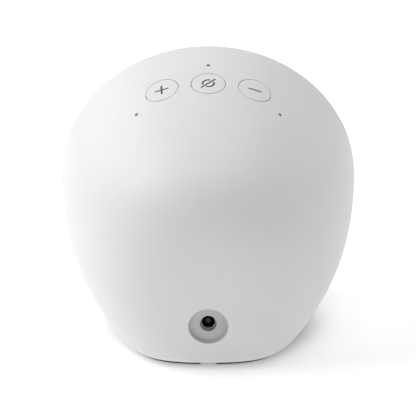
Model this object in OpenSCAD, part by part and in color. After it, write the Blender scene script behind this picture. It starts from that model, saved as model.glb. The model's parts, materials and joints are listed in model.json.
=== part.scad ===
// Compact smart speaker: a tilted round face with a fabric grille and a smooth rounded back shell.
// Z is up, the fabric face looks towards -Y, and the buttons and power inlet are at the back, towards +Y.

/* [Body] */
// Diameter of the round front rim
face_d = 99; // [97:0.5:101]
// How far the face leans back from upright, in degrees
tilt = 12.5; // [11.5:0.5:13.5]
// Length of the shell along the face's axis
back_l = 71.2; // [69:0.2:73]
// Height of the centre of the face above the floor
face_z = 42.7; // [42:0.1:43.5]
// Shell wall thickness
wall = 2.0; // [1.8:0.1:2.2]

/* [Base] */
// Height of the shell's bottom edge above the floor
foot_h = 0.8; // [0.6:0.1:1.0]
// Radius rounding the shell into its base
base_edge_r = 3.5; // [3:0.5:4]
// Thickness of the shell's floor
floor_t = 2.4; // [2.2:0.1:2.6]

/* [Buttons] */
// Diameter of each button cap
button_d = 10.65; // [10.2:0.05:10.8]
// Gap round each cap
button_gap = 0.2; // [0.15:0.05:0.3]
// Angle between the middle and outer buttons, about the face's axis
button_a = 18.4; // [18.2:0.1:19.6]
// Distance of the buttons behind the rim, along the face's axis
button_s = 22.6; // [22:0.1:23.2]
// Stroke width of the raised signs on the caps
sign_w = 0.6; // [0.4:0.05:0.7]

/* [Microphones] */
// Diameter of each microphone hole
mic_hole_d = 1.2; // [0.8:0.1:1.4]
// Distance of the middle hole behind the rim
mic_mid_s = 12.2; // [11.8:0.1:12.6]
// Distance of the outer holes behind the rim
mic_side_s = 30.2; // [29.6:0.1:30.8]
// Angle of the outer holes from the top
mic_side_a = 29.7; // [29.2:0.1:30.2]

/* [Power inlet] */
// Diameter of the recess round the inlet
recess_d = 12.0; // [11.6:0.1:12.2]
// Height of the inlet's axis above the floor
inlet_z = 15.7; // [15.7:0.1:16.1]
// Diameter of the inlet's bore
inlet_bore_d = 4.1; // [4:0.05:4.2]
// Diameter of the inlet's centre pin
inlet_pin_d = 1.65; // [1.5:0.05:1.7]

/* [Grille] */
// How far the fabric's centre stands in front of the rim
dome_h = 4.0; // [3.6:0.1:4.4]
// Fabric thickness
fabric_t = 0.7; // [0.5:0.1:0.8]

/* [Hidden] */
$fn = 64;
face_r = face_d / 2;
// How quickly the surface draws in behind the rim, and how full the back is: at the sides, above and below
side_draw = 4.5;
top_draw = 7;
under_draw = 12.7;
side_fullness = 19;
top_fullness = 32;
under_fullness = 51;
// The lean of the sections at the back end
tail_tilt = 9.4;
// Centre and half-width of the base's footprint, from the centre of the face
base_mid = 27.5;
base_half_w = 27;
// Centres the part's depth on the origin
face_y = -30.8;
base_y = face_y + base_mid;
floor_z = foot_h + floor_t;
// Fabric and grille edges, and the sphere that their domes follow
fabric_r = 47.2;
dome_rise = 3.2;
dome_r = (pow(fabric_r, 2) + pow(dome_rise, 2)) / (2 * dome_rise);
skirt_z = -1.2;
frame_gap = 0.1;
frame_t = 1.6;
baffle_r = 46.3;
baffle_front = -2.0;
baffle_back = -4.8;
// Power inlet and its recess
recess_floor_y = face_y + 65.1;
recess_wall = 1.5;
jack_front_y = recess_floor_y - recess_wall - 0.7;
bezel_t = 0.8;
jack_rear_y = jack_front_y - 10.7;
bezel_r = 2.42;
// Power board
power_board_z = inlet_z - 4.7;
board_t = 1.2;
power_top_z = power_board_z + board_t;
// Depths of the button stack below the outer surface
cap_t = 2.75;
flange_r = 6.7;
stem_end = 4.9;
switch_top = 5.5;
flex_top = 7.25;
bracket_top = 8.05;
bracket_t = 1.2;
// Main board, measured back from the rim
main_front = 40.8;
main_rear = main_front + board_t;
// Where the power wires run between the boards
wires_x = -6.4;

function closing(s) = pow(max(0, 1 - s / back_l), 1 / 3);
function upper_share(a) = let (t = max(0, min(1, 0.5 + 1.4 * cos(a)))) t * t * (3 - 2 * t);
function round_mix(a, side, top, under) = side * pow(sin(a), 2)
  + (under + (top - under) * upper_share(a)) * pow(cos(a), 2);
// Radius and set-back of the outer surface at angle a from the top
// w runs from 1 at the rim to 0 at the back
function skin_r(a, w) = pow(w, 3) * face_r
  + 3 * w * w * (1 - w) * (face_r - round_mix(a, side_draw, top_draw, under_draw))
  + 3 * w * (1 - w) * (1 - w) * round_mix(a, side_fullness, top_fullness, under_fullness);
function skin_s(w) = back_l * (1 - pow(w, 3));
function lean(w) = tail_tilt + (tilt - tail_tilt) * pow(w, 3);
function skin(a, w) = [
  skin_r(a, w) * sin(a),
  face_y + skin_s(w) * cos(tilt) + skin_r(a, w) * cos(a) * sin(lean(w)),
  face_z - skin_s(w) * sin(tilt) + skin_r(a, w) * cos(a) * cos(lean(w))
];
// Where a line along the surface from rim to back comes down to height z, and where the lowest line does
function angle_at(w, z, lo = 90, hi = 180, n = 18) = let (mid = (lo + hi) / 2)
  n == 0 ? mid : skin(mid, w).z > z ? angle_at(w, z, mid, hi, n - 1) : angle_at(w, z, lo, mid, n - 1);
function back_w(z, lo = 0.02, hi = 0.5, n = 18) = let (mid = (lo + hi) / 2)
  n == 0 ? mid : skin(180, mid).z > z ? back_w(z, mid, hi, n - 1) : back_w(z, lo, mid, n - 1);
function unit(v) = v / norm(v);
core = [0, face_y + 30, face_z - 6];
function outward(n, p) = n * (p - core) > 0 ? n : -n;
function across(a, w) = unit(skin(a - 0.3, w) - skin(a + 0.3, w));
function along(a, w) = skin(a, w + 0.003) - skin(a, w - 0.003);
function skin_n(a, w) = outward(unit(cross(across(a, w), along(a, w))), skin(a, w));
function inside_skin(a, w, t) = skin(a, w) - t * skin_n(a, w);
back_n = [0, cos(tail_tilt), -sin(tail_tilt)];
forward = [0, -cos(tilt), sin(tilt)];
// A point at x, up and back in the leaning face's own frame
function in_back(x, up, s) = [
  x,
  face_y + s * cos(tilt) + up * sin(tilt),
  face_z - s * sin(tilt) + up * cos(tilt)
];

// Closed solid through rings of points, from an open front ring to a point at the back
module loft(rings, front, tip) {
  n = len(rings[0]);
  m = len(rings);
  points = concat([for (r = rings) for (p = r) p], [front, tip]);
  walls = [for (i = [0 : m - 2]) for (k = [0 : n - 1]) let (j = (k + 1) % n) each [
    [i * n + k, (i + 1) * n + k, (i + 1) * n + j],
    [i * n + k, (i + 1) * n + j, i * n + j]
  ]];
  ends = [for (k = [0 : n - 1]) let (j = (k + 1) % n) each [
    [m * n, k, j],
    [(m - 1) * n + k, m * n + 1, (m - 1) * n + j]
  ]];
  polyhedron(points = points, faces = concat(walls, ends));
}

module outer_solid() {
  n = 80;
  rows = 20;
  rings = [for (i = [0 : rows - 1]) [for (k = [0 : n - 1]) skin(360 * k / n, 1 - i / rows)]];
  loft(rings, [0, face_y, face_z], skin(0, 0));
}

// The surface's outline at height z, from one end of the rim round the back to the other
function level_outline(z, m = 24) = let (wb = back_w(z))
  let (half = [for (i = [0 : m]) let (w = wb + (1 - wb) * pow(1 - i / m, 2)) skin(angle_at(w, z), w)])
  concat(half, [for (i = [m - 1 : -1 : 0]) [-half[i].x, half[i].y, half[i].z]]);

// The rounded bottom edge draws in less at the sides than at the back
side_tuck = 0.5;
rear_tuck = 0.86;
function tucked(inset) = 1 - inset / base_half_w;

// Keeps the shell inside its rounded bottom edge, and opens out above it
module base_former() {
  edge_z = foot_h + base_edge_r;
  drops = [1, 0.9, 0.75, 0.55, 0.35];
  low = [for (d = drops) let (inset = base_edge_r * (1 - sqrt(1 - d * d)))
    [edge_z - d * base_edge_r, tucked(side_tuck * inset), tucked(rear_tuck * inset)]];
  levels = concat(low, [[edge_z + 8, 1.7, 1.7], [edge_z + 18, 2.4, 2.4], [110, 2.4, 2.4]]);
  rings = [for (lv = levels) [for (p = level_outline(min(lv[0], edge_z)))
    [p.x * lv[1], base_y + (p.y - base_y) * (p.y > base_y || lv[1] > 1 ? lv[2] : 1), lv[0]]]];
  loft(rings, [0, base_y, levels[0][0]], [0, base_y, 110]);
}

module cavity_solid() {
  n = 56;
  rows = 14;
  reach = 8;
  mouth = [for (k = [0 : n - 1]) inside_skin(360 * k / n, 0.997, wall) + reach * forward];
  body = [for (i = [0 : rows - 1]) [for (k = [0 : n - 1])
    inside_skin(360 * k / n, 0.997 - 0.9 * i / (rows - 1), wall)]];
  loft(concat([mouth], body), [0, face_y, face_z] + reach * forward, skin(0, 0) - wall * back_n);
}

// Piece of the outer surface round one point, with straight sides going down into the wall
module skin_patch(a, s, half_a, half_s, depth) {
  n = 9;
  top = [for (i = [0 : n - 1]) for (k = [0 : n - 1])
    skin(a + half_a * (2 * k / (n - 1) - 1), closing(s + half_s * (2 * i / (n - 1) - 1)))];
  down = depth * skin_n(a, closing(s));
  points = concat(top, [for (p = top) p - down]);
  low = n * n;
  cells = [for (i = [0 : n - 2]) for (k = [0 : n - 2]) let (c = i * n + k) each [
    [c, c + n, c + n + 1],
    [c, c + n + 1, c + 1],
    [low + c, low + c + n + 1, low + c + n],
    [low + c, low + c + 1, low + c + n + 1]
  ]];
  sides = [for (k = [0 : n - 2]) let (f = k, b = (n - 1) * n + k, l = k * n, r = k * n + n - 1) each [
    [f, f + 1, low + f + 1],
    [f, low + f + 1, low + f],
    [b, low + b + 1, b + 1],
    [b, low + b, low + b + 1],
    [l, low + l + n, l + n],
    [l, low + l, low + l + n],
    [r, r + n, low + r + n],
    [r, low + r + n, low + r]
  ]];
  polyhedron(points = points, faces = concat(cells, sides));
}

// Local frame on the outer surface: Z out of the wall, Y towards the rim
module on_skin(a, s) {
  w = closing(s);
  p = skin(a, w);
  z = skin_n(a, w);
  x = across(a, w);
  y = cross(z, x);
  multmatrix([[x.x, y.x, z.x, p.x], [x.y, y.y, z.y, p.y], [x.z, y.z, z.z, p.z], [0, 0, 0, 1]]) children();
}

// The face's frame: Z forward out of the grille, Y up the face
module in_face() {
  translate([0, face_y, face_z]) rotate([90 - tilt, 0, 0]) children();
}

module rod(r, z0, z1) {
  translate([0, 0, z0]) cylinder(r = r, h = z1 - z0);
}

module tube(ro, ri, z0, z1) {
  difference() {
    rod(ro, z0, z1);
    rod(ri, z0 - 1, z1 + 1);
  }
}

module block(w, l, z0, z1) {
  translate([-w / 2, -l / 2, z0]) cube([w, l, z1 - z0]);
}

module spaced(r, angles) {
  for (a = angles) rotate([0, 0, a]) translate([r, 0, 0]) children();
}

module arc_strip(r0, r1, z0, z1, from, to) {
  rotate([0, 0, from]) rotate_extrude(angle = to - from) translate([r0, z0]) square([r1 - r0, z1 - z0]);
}

module screw(head_r, head_h, shank_r, shank_l) {
  rod(head_r, 0, head_h);
  rod(shank_r, -shank_l, 0.01);
}

module above(z) {
  intersection() {
    children();
    translate([-60, -60, z]) cube([120, 140, 120]);
  }
}

// Wire through a list of points, with a small ball at each bend
module wire(path, r) {
  last = len(path) - 2;
  for (i = [0 : last]) {
    v = path[i + 1] - path[i];
    translate(path[i]) {
      rotate([0, acos(v.z / norm(v)), atan2(v.y, v.x)]) cylinder(r = r, h = norm(v));
      if (i > 0) sphere(r = 1.25 * r);
    }
  }
}

// Domed disc of the face, from its skirt up to a dome parallel to the fabric's
module dish(r, drop, low) {
  intersection() {
    rod(r, low, dome_h + 1);
    translate([0, 0, dome_h - dome_r]) rotate([90, 0, 0]) sphere(r = dome_r - drop, $fn = 180);
  }
}

module at_inlet(y) {
  translate([0, y, inlet_z]) rotate([-90, 0, 0]) children();
}

/* ---- shell and base ---- */

mic_spots = [[0, mic_mid_s], [mic_side_a, mic_side_s], [-mic_side_a, mic_side_s]];
button_spots = [[button_a, button_s], [0, button_s], [-button_a, button_s]];
bracket_spots = [[33, 16], [-33, 16]];
baffle_screw_r = 43.2;
baffle_screw_angles = [30, 150, 210, 330];
board_screw_spots = [[23.5, 24.5], [-23.5, 24.5], [23.5, -12.5], [-23.5, -12.5]];
power_screw_spots = [[11.5, 39.5], [-11.5, 39.5], [11.5, 54], [-11.5, 54]];
opening_y = face_y + 21;
base_screw_spots = [[11.5, 13], [-11.5, 13], [11.5, -13], [-11.5, -13]];
screw_pilot = 1.0;
small_pilot = 0.85;

module at_spots(spots, z) {
  for (p = spots) translate([p.x, p.y, z]) children();
}

// What stays solid inside the cavity: screw posts and the cup behind the power inlet
module posts() {
  in_face() spaced(baffle_screw_r, baffle_screw_angles) rod(3.2, -15, baffle_back - 0.1);
  in_face() at_spots(board_screw_spots, 0) rod(2.6, -back_l, -main_rear - 0.05);
  translate([0, opening_y, 0]) at_spots(base_screw_spots, 0) rod(2.4, 1, 7.4);
  translate([0, face_y, 0]) at_spots(power_screw_spots, 0) rod(2.2, 1, power_board_z - 0.05);
  at_inlet(recess_floor_y - recess_wall) rod(recess_d / 2 + recess_wall, 0, 12);
  for (p = bracket_spots) on_skin(p[0], p[1]) rod(2.4, -bracket_top + 0.05, 0);
}

module pilots() {
  in_face() spaced(baffle_screw_r, baffle_screw_angles) rod(screw_pilot, -12, 0);
  in_face() at_spots(board_screw_spots, 0) rod(small_pilot, -main_rear - 6, 0);
  translate([0, opening_y, 0]) at_spots(base_screw_spots, 0) rod(screw_pilot, 0, 6.6);
  translate([0, face_y, 0]) at_spots(power_screw_spots, 0) rod(small_pilot, 6, 20);
  for (p = bracket_spots) on_skin(p[0], p[1]) rod(small_pilot, -12, -4);
}

module base_oval(half_w, half_l, z0, z1) {
  outline = [for (k = [0 : 95]) [half_w * cos(3.75 * k), half_l * sin(3.75 * k)]];
  translate([0, 0, z0]) linear_extrude(height = z1 - z0) polygon(outline);
}

recess_half = [18.3, 20.3];
opening_half = [15, 17];
seat_t = 1.2;

module rear_shell() {
  color("WhiteSmoke") {
    difference() {
      intersection() {
        outer_solid();
        base_former();
      }
      difference() {
        above(floor_z) cavity_solid();
        posts();
      }
      pilots();
      translate([0, opening_y, 0]) {
        base_oval(recess_half.x, recess_half.y, -1, foot_h + seat_t);
        base_oval(opening_half.x, opening_half.y, 0, floor_z + 0.5);
      }
      for (p = button_spots) on_skin(p[0], p[1]) rod(button_d / 2 + button_gap, -6, 3);
      for (p = mic_spots) on_skin(p[0], p[1]) rod(mic_hole_d / 2, -4, 2);
      at_inlet(recess_floor_y) rod(recess_d / 2, 0, 14);
      at_inlet(recess_floor_y - 4) rod(bezel_r + 0.13, 0, 5);
      in_face() arc_strip(46, 48.5, -2.5, 1, 67.5, 112.5);
    }
    translate([-2.15, face_y + 55.2, 0.1]) cube([4.3, 4.0, foot_h + 0.4]);
  }
}

module base_plate() {
  fit = 0.15;
  color("Gainsboro") translate([0, opening_y, 0]) difference() {
    union() {
      base_oval(recess_half.x - fit, recess_half.y - fit, foot_h, foot_h + seat_t - 0.1);
      base_oval(opening_half.x - fit, opening_half.y - fit, foot_h + 0.5, floor_z - 0.2);
    }
    at_spots(base_screw_spots, 0) rod(1.8, foot_h - 1, foot_h + 0.65);
    at_spots(base_screw_spots, 0) rod(screw_pilot + 0.1, 0, 5);
  }
}

// The underside's outline, drawn in a little on all sides
foot_inset = 0.3;
foot_outline = [for (p = level_outline(foot_h)) [
  p.x * tucked(side_tuck * base_edge_r + foot_inset),
  base_y + (p.y - base_y) * (p.y > base_y ? tucked(rear_tuck * base_edge_r + foot_inset) : 0.97)
]];

module rubber_foot() {
  color("DimGray") difference() {
    linear_extrude(height = foot_h - 0.02) polygon(foot_outline);
    translate([-2.5, face_y + 54.8, -1]) cube([5, 10, 3]);
  }
}

module base_screws() {
  color("Silver") translate([0, opening_y, 0]) at_spots(base_screw_spots, foot_h + 0.6) {
    rotate([180, 0, 0]) screw(1.6, 0.55, 0.95, 5);
  }
}

/* ---- grille and light bar ---- */

peg_angles = [0, 60, 120, 180, 228, 312];
peg_r = 44;

module grille_fabric() {
  hem = 0.7;
  color("LightSteelBlue") difference() {
    above(floor_z + 0.4) in_face() dish(fabric_r, 0, skirt_z);
    above(floor_z + 0.4 + hem) in_face() dish(fabric_r - fabric_t, fabric_t, skirt_z - 1);
  }
}

module grille_frame() {
  low = skirt_z + 0.1;
  hole_d = 4.2;
  pitch = 7.6;
  color("DarkGray") {
    difference() {
      above(floor_z + 0.4 + 0.8) in_face() dish(fabric_r - fabric_t - frame_gap, fabric_t + frame_gap, low);
      in_face() dish(peg_r - 1.6, fabric_t + frame_gap + frame_t, low - 1);
      in_face() {
        rod(hole_d / 2, -3, 9);
        for (ring = [1 : 5]) for (k = [0 : 6 * ring - 1]) rotate([0, 0, 60 * k / ring]) {
          translate([ring * pitch, 0, 0]) rod(hole_d / 2, -3, 9);
        }
      }
    }
    in_face() spaced(peg_r, peg_angles) rod(1.3, baffle_back + 0.3, low + 0.5);
  }
}

module front_baffle() {
  color("DimGray") difference() {
    above(floor_z + 0.3) in_face() union() {
      rod(baffle_r, baffle_back, baffle_front);
      spaced(33.5, [0, 90, 180, 270]) rod(2.4, -6.4, baffle_back + 0.1);
    }
    in_face() {
      rod(28, -8, 0);
      spaced(33.5, [0, 90, 180, 270]) rod(screw_pilot, -8, baffle_front - 1);
      spaced(baffle_screw_r, baffle_screw_angles) rod(screw_pilot + 0.2, -8, 0);
      spaced(peg_r, peg_angles) rod(1.4, -8, 0);
      arc_strip(43.7, 48, -4.1, 0, 65, 115);
    }
  }
}

// The screws that hold the baffle to the shell and the enclosure to the baffle
module case_screws() {
  color("Silver") in_face() {
    spaced(baffle_screw_r, baffle_screw_angles) {
      translate([0, 0, baffle_front + 0.02]) screw(1.9, 0.75, 0.95, 5.2);
    }
    spaced(33.5, [0, 90, 180, 270]) translate([0, 0, can_front - 2.02]) {
      rotate([180, 0, 0]) screw(1.9, 0.75, 0.95, 5.2);
    }
  }
}

module light_bar_lens() {
  color("AliceBlue") in_face() {
    arc_strip(47.35, 48.4, -2.2, 0, 68, 112);
    arc_strip(45.3, 47.5, -2.2, -1.5, 68, 112);
  }
}

module light_bar_board() {
  color("DarkGreen") in_face() arc_strip(44, 46.5, -4.0, -3.3, 66, 114);
}

module light_bar_leds() {
  color("Ivory") in_face() spaced(45.9, [72, 84, 96, 108]) block(1.0, 1.6, -3.28, -2.5);
}

/* ---- speaker enclosure and driver ---- */

can_r = 31;
can_wall = 1.8;
can_front = -6.4;
can_end = -33.6;
cover_ears = [90, 210, 330];
cover_ear_r = 33.0;

module ears(r, angles, pad, z0, z1) {
  spaced(r, angles) rod(pad, z0, z1);
  spaced(r - 2, angles) block(3.4, 3.4, z0, z1);
}

module speaker_enclosure() {
  color("DimGray") in_face() difference() {
    union() {
      rod(can_r, can_end, can_front);
      ears(33.5, [0, 90, 180, 270], 2.6, can_front - 2, can_front - 0.05);
      ears(cover_ear_r, cover_ears, 2.2, can_end, can_end + 6);
    }
    rod(can_r - can_wall, can_end - 1, can_front - 2);
    rod(23.6, can_front - 3, 0);
    spaced(33.5, [0, 90, 180, 270]) rod(screw_pilot + 0.2, -12, 0);
    spaced(cover_ear_r, cover_ears) rod(small_pilot, can_end - 1, can_end + 4.5);
    spaced(25.6, [45, 135, 225, 315]) rod(small_pilot, -7.9, 0);
  }
}

module enclosure_seal() {
  color("Black") in_face() tube(can_r - 0.3, can_r - can_wall + 0.2, can_end - 0.5, can_end - 0.02);
}

module enclosure_cover() {
  color("DimGray") in_face() difference() {
    union() {
      rod(can_r, can_end - 2.4, can_end - 0.55);
      ears(cover_ear_r, cover_ears, 2.2, can_end - 2.4, can_end - 0.55);
      rod(can_r - can_wall - 0.3, can_end - 1, can_end + 1);
    }
    spaced(cover_ear_r, cover_ears) rod(small_pilot + 0.15, -40, 0);
    rod(can_r - can_wall - 1.8, can_end - 0.55, can_end + 2);
  }
}

module driver_gasket() {
  color("Black") in_face() difference() {
    tube(27.3, 24.0, can_front + 0.02, -5.92);
    spaced(25.6, [45, 135, 225, 315]) rod(1, -8, 0);
  }
}

module driver_basket() {
  profile = [
    [22.2, -4.7], [27.5, -4.7], [27.5, -5.9], [23.3, -5.9], [17.2, -15.2], [17.2, -16.4],
    [11.2, -16.4], [11.2, -15.2], [14.8, -15.2], [14.8, -13.6], [17.0, -13.6], [22.2, -5.6]
  ];
  color("DarkSlateGray") in_face() difference() {
    rotate_extrude() polygon(profile);
    spaced(20, [0, 60, 120, 180, 240, 300]) block(9, 8, -12.8, -7.2);
    spaced(25.6, [45, 135, 225, 315]) rod(1, -8, 0);
  }
}

module driver_screws() {
  color("Silver") in_face() spaced(25.6, [45, 135, 225, 315]) translate([0, 0, -4.68]) {
    screw(1.4, 0.6, 0.75, 3);
  }
}

module driver_surround() {
  color("Black") in_face() rotate_extrude() {
    translate([18.3, -4.7]) square([1.4, 0.4]);
    translate([22.7, -4.69]) square([1.4, 0.39]);
    intersection() {
      difference() {
        translate([21.2, -4.7]) circle(r = 1.75);
        translate([21.2, -4.7]) circle(r = 1.35);
      }
      translate([19, -4.7]) square([5, 3]);
    }
  }
}

module driver_cone() {
  profile = [
    [19.4, -4.75], [19.4, -5.2], [18.4, -5.2], [10.0, -12.0],
    [9.2, -12.0], [9.2, -11.5], [9.8, -11.5], [18.1, -4.75]
  ];
  color("Silver") in_face() rotate_extrude() polygon(profile);
}

module driver_dust_cap() {
  cap_r = 9.5;
  rise = 3;
  ball = (cap_r * cap_r + rise * rise) / (2 * rise);
  color("Gray") in_face() difference() {
    intersection() {
      translate([0, 0, rise - 11.3 - ball]) sphere(r = ball);
      rod(20, -11.3, 0);
    }
    translate([0, 0, rise - 11.3 - ball]) sphere(r = ball - 0.35);
  }
}

module driver_voice_coil() {
  color("Peru") in_face() {
    tube(9.05, 8.75, -20, -11.6);
    tube(9.4, 9.0, -19.7, -15.7);
  }
}

module driver_spider() {
  top = [
    [9.1, -13.4], [10.2, -12.9], [11.3, -13.7], [12.4, -12.9],
    [13.5, -13.7], [14.6, -13.1], [15.2, -13.3], [16.9, -13.3]
  ];
  under = [for (i = [len(top) - 1 : -1 : 0]) top[i] - [0, 0.25]];
  color("Tan") in_face() rotate_extrude() polygon(concat(top, under));
}

module driver_top_plate() {
  color("DarkGray") in_face() tube(15, 9.75, -18.9, -16.42);
}

module driver_magnet() {
  color("Gray") in_face() tube(16, 10.6, -24.8, -18.92);
}

module driver_yoke() {
  color("Silver") in_face() {
    rod(15, -27.3, -24.82);
    rod(8.3, -25, -16.5);
  }
}

module speaker_terminal() {
  color("Ivory") in_face() translate([0, -5, 0]) block(8, 4, -38.6, can_end - 2.42);
}

/* ---- main board and what it carries ---- */

module small_screw() {
  screw(1.6, 0.7, 0.78, 5);
}

// The same small screw holds the enclosure cover, both boards and the button bracket
module small_screws() {
  color("Silver") {
    in_face() {
      spaced(cover_ear_r, cover_ears) translate([0, 0, can_end - 2.42]) rotate([180, 0, 0]) small_screw();
      at_spots(board_screw_spots, 0.02 - main_front) small_screw();
    }
    translate([0, face_y, power_top_z + 0.02]) at_spots(power_screw_spots, 0) small_screw();
    for (p = bracket_spots) on_skin(p[0], p[1]) {
      translate([0, 0, -bracket_top - bracket_t - 0.02]) rotate([180, 0, 0]) small_screw();
    }
  }
}

module main_board() {
  color("DarkGreen") in_face() difference() {
    translate([0, 6, 0]) block(54, 44, -main_rear, -main_front);
    at_spots(board_screw_spots, 0) rod(small_pilot + 0.25, -50, -30);
  }
}

can_spot = [-6, 6];

module shield_can() {
  color("Silver") in_face() translate([can_spot.x, can_spot.y, -main_rear]) difference() {
    block(28, 24, -3.3, -0.02);
    block(27.2, 23.2, -2.9, 1);
  }
}

module processor_chip() {
  color("Black") in_face() translate([can_spot.x - 6, can_spot.y, -main_rear]) block(12, 12, -1.2, -0.02);
}

module thermal_pad() {
  color("LightGray") in_face() {
    translate([can_spot.x - 6, can_spot.y, -main_rear]) block(10, 10, -2.88, -1.22);
  }
}

module memory_chips() {
  color("Black") in_face() translate([can_spot.x + 7, can_spot.y, -main_rear]) {
    translate([0, 5.5, 0]) block(10, 8, -1.0, -0.02);
    translate([0, -5.5, 0]) block(10, 8, -1.0, -0.02);
  }
}

module heat_sink() {
  fins = 7;
  color("Silver") in_face() translate([can_spot.x, can_spot.y, -main_rear - 3.32]) {
    block(26, 22, -1.6, 0);
    for (i = [0 : fins - 1]) translate([-12 + 4 * i, 0, 0]) block(1.2, 22, -5.6, -1.5);
  }
}

module wireless_module() {
  color("Gainsboro") in_face() translate([20, 12, 0]) {
    block(12, 15, -main_front + 0.02, -main_front + 0.7);
    translate([0, 0.5, 0]) block(10.6, 12, -main_front + 0.6, -main_front + 2);
  }
}

module capacitors() {
  color("SlateGray") {
    in_face() at_spots([[-18, -3], [-12, -3]], 0) rod(2, -main_front + 0.02, -main_front + 3);
    translate([8, face_y + 46.5, 0]) rod(3.1, power_top_z + 0.02, power_top_z + 8);
  }
}

module board_connectors() {
  color("Ivory") {
    in_face() {
      translate([18.5, -11.8, 0]) block(5, 4, -main_front + 0.02, -main_front + 1.9);
      translate([0, 24, 0]) block(8, 4, -main_front + 0.02, -main_front + 1.8);
      translate([wires_x, -11, 0]) block(6, 4, -main_rear - 2.4, -main_rear - 0.02);
    }
    translate([wires_x, face_y + 40, 0]) block(6, 4, power_top_z + 0.02, power_top_z + 3.5);
  }
}

module antennas() {
  color("DarkGoldenrod") for (a = [90, -90]) on_skin(a, 20) block(8, 26, -3.5, -2.9);
}

module antenna_cables() {
  color("Black") {
    wire([in_back(41.2, 0, 29), in_back(34, 7, 37.5), in_back(26.3, 10, 39.5)], 0.45);
    wire([in_back(-41.2, 0, 29), in_back(-33, 9, 38.9), in_back(13.8, 9, 39.2)], 0.45);
  }
}

// Speaker wires and power wires, each as its two conductors
module hook_up_wires() {
  top = power_top_z + 4;
  color("FireBrick") for (i = [0, 1]) {
    down = 1.6 * i;
    bend = in_back(11, -8 - down, 38.2);
    wire([in_back(4.4, -4.2 - down, 37.6), bend, in_back(15.5, -11 - down, 39.6)], 0.5);
    x = wires_x + 2.8 * i - 1.4;
    wire([[x, face_y + 40, top], [x, face_y + 41.5, top + 2.5], in_back(x, -13.6, 43.4)], 0.6);
  }
}

/* ---- power inlet ---- */

module power_board() {
  color("DarkGreen") difference() {
    translate([-14, face_y + 37, power_board_z]) cube([28, 20, board_t]);
    translate([0, face_y, 0]) at_spots(power_screw_spots, 0) rod(small_pilot + 0.25, 5, 20);
  }
}

module dc_jack_body() {
  color("Black") difference() {
    translate([-3.6, jack_rear_y, power_top_z + 0.02]) cube([7.2, jack_front_y - jack_rear_y, 7]);
    at_inlet(jack_front_y - 9) rod(inlet_bore_d / 2, 0, 12);
  }
}

module dc_jack_pin() {
  color("Silver") at_inlet(jack_front_y - 8.98) rod(inlet_pin_d / 2, 0, 8.5);
}

module inlet_bezel() {
  color("Gainsboro") at_inlet(jack_front_y + 0.02) tube(bezel_r, inlet_bore_d / 2, 0, bezel_t);
}

module power_inductor() {
  color("DimGray") translate([-8, face_y + 47.5, 0]) block(7, 7, power_top_z + 0.02, power_top_z + 4);
}

/* ---- buttons and microphones ---- */

module button_flex() {
  color("Goldenrod") {
    for (p = button_spots) on_skin(p[0], p[1]) block(9, 8.6, -flex_top - 0.5, -flex_top);
    for (a = [button_a / 2, -button_a / 2]) on_skin(a, button_s) block(8, 4, -flex_top - 0.3, -flex_top);
    in_face() {
      translate([-3, 38.6, -38.6]) cube([6, 0.3, 14.4]);
      translate([-3, 24, -38.6]) cube([6, 14.9, 0.3]);
    }
  }
}

module switch_bodies() {
  color("Black") for (p = button_spots) on_skin(p[0], p[1]) difference() {
    block(4.6, 4.6, -flex_top + 0.02, -switch_top);
    rod(1.3, -flex_top + 0.5, 0);
  }
}

module button_bracket() {
  color("Gainsboro") difference() {
    union() {
      for (p = button_spots) on_skin(p[0], p[1]) block(12, 10, -bracket_top - bracket_t, -bracket_top);
      for (side = [1, -1]) on_skin(side * button_a / 2, button_s) {
        block(8, 8, -bracket_top - 1.2, -bracket_top - 0.3);
      }
      for (side = [1, -1]) {
        on_skin(side * 26, 18.6) rotate([0, 0, -29.4 * side]) {
          block(12, 5, -bracket_top - 1.2, -bracket_top - 0.4);
        }
        on_skin(side * 33, 16) rod(3, -bracket_top - bracket_t, -bracket_top);
      }
    }
    for (p = bracket_spots) on_skin(p[0], p[1]) rod(small_pilot + 0.15, -15, 0);
  }
}

module plus_sign() {
  square([4.5, sign_w], center = true);
  square([sign_w, 4.5], center = true);
}

module minus_sign() {
  square([4.4, sign_w], center = true);
}

module mute_sign() {
  difference() {
    circle(r = 1.8 + sign_w / 2);
    circle(r = 1.8 - sign_w / 2);
    rotate(45) square([8, sign_w + 0.9], center = true);
  }
  rotate(45) square([6.4, sign_w], center = true);
}

module sign_for(i) {
  if (i == 0) plus_sign();
  if (i == 1) mute_sign();
  if (i == 2) minus_sign();
}

sign_depth = 0.4;

module cap_solid(i) {
  p = button_spots[i];
  difference() {
    intersection() {
      skin_patch(p[0], p[1], 8.6, 7, 3.4);
      on_skin(p[0], p[1]) rod(button_d / 2, -cap_t, 2);
    }
    on_skin(p[0], p[1]) translate([0, 0, -sign_depth]) linear_extrude(height = 3) sign_for(i);
  }
  on_skin(p[0], p[1]) {
    rod(flange_r, -cap_t - 0.75, -cap_t + 0.001);
    rod(1.8, -stem_end, -cap_t - 0.7);
    rod(1.0, -stem_end - 1, -stem_end + 0.1);
  }
}

module sign_solid(i) {
  p = button_spots[i];
  intersection() {
    skin_patch(p[0], p[1], 8.6, 7, 3.4);
    on_skin(p[0], p[1]) translate([0, 0, -sign_depth]) linear_extrude(height = 3) sign_for(i);
  }
}

module volume_up_cap() {
  color("WhiteSmoke") cap_solid(0);
}

module volume_up_sign() {
  color("DimGray") sign_solid(0);
}

module mute_cap() {
  color("WhiteSmoke") cap_solid(1);
}

module mute_sign_inlay() {
  color("DimGray") sign_solid(1);
}

module volume_down_cap() {
  color("WhiteSmoke") cap_solid(2);
}

module volume_down_sign() {
  color("DimGray") sign_solid(2);
}

module mic_seals() {
  color("Black") for (p = mic_spots) on_skin(p[0], p[1]) tube(1.7, 0.6, -3.3, -2.15);
}

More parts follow.
